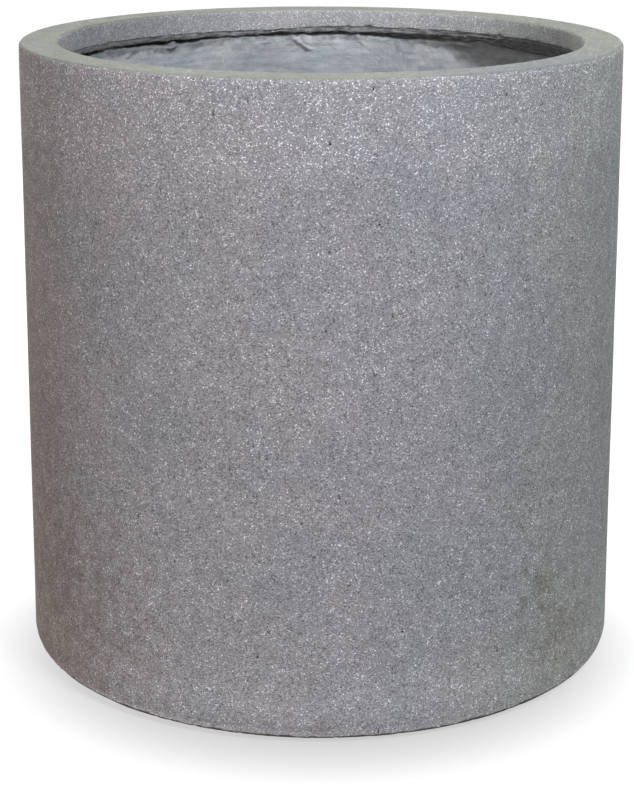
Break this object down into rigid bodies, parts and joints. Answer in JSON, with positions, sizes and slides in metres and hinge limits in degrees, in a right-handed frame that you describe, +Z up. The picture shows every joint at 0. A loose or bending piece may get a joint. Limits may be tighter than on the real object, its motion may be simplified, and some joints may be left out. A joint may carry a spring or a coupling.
{
  "type": "planter",
  "caption": "Straight-sided round planter cast in speckled fibre clay, with a flat turned-in rim, a laminate lining, a hollowed base and a rubber bung in its drain hole.",
  "frame": {"origin": "middle of the base, on the surface that the planter stands on", "axes": "+Z up along the planter's axis, -Y towards the side that the picture shows"},
  "size_m": [0.4999, 0.5, 0.518],
  "materials": {
    "face_mix": "matte",
    "backfill_mix": "matte",
    "laminate": "matte",
    "bung_rubber": "matte"
  },
  "bodies": {
    "planter": {"face_shell": "face_mix", "rim_backfill": "backfill_mix", "wall_lining": "laminate", "floor_lining": "laminate"},
    "plug": {"drain_plug": "bung_rubber"}
  },
  "joints": [
    {"name": "plug_lift", "type": "slide", "parent": "planter", "child": "plug", "axis": [0, 0, 1], "range_m": [0, 0.52]}
  ]
}
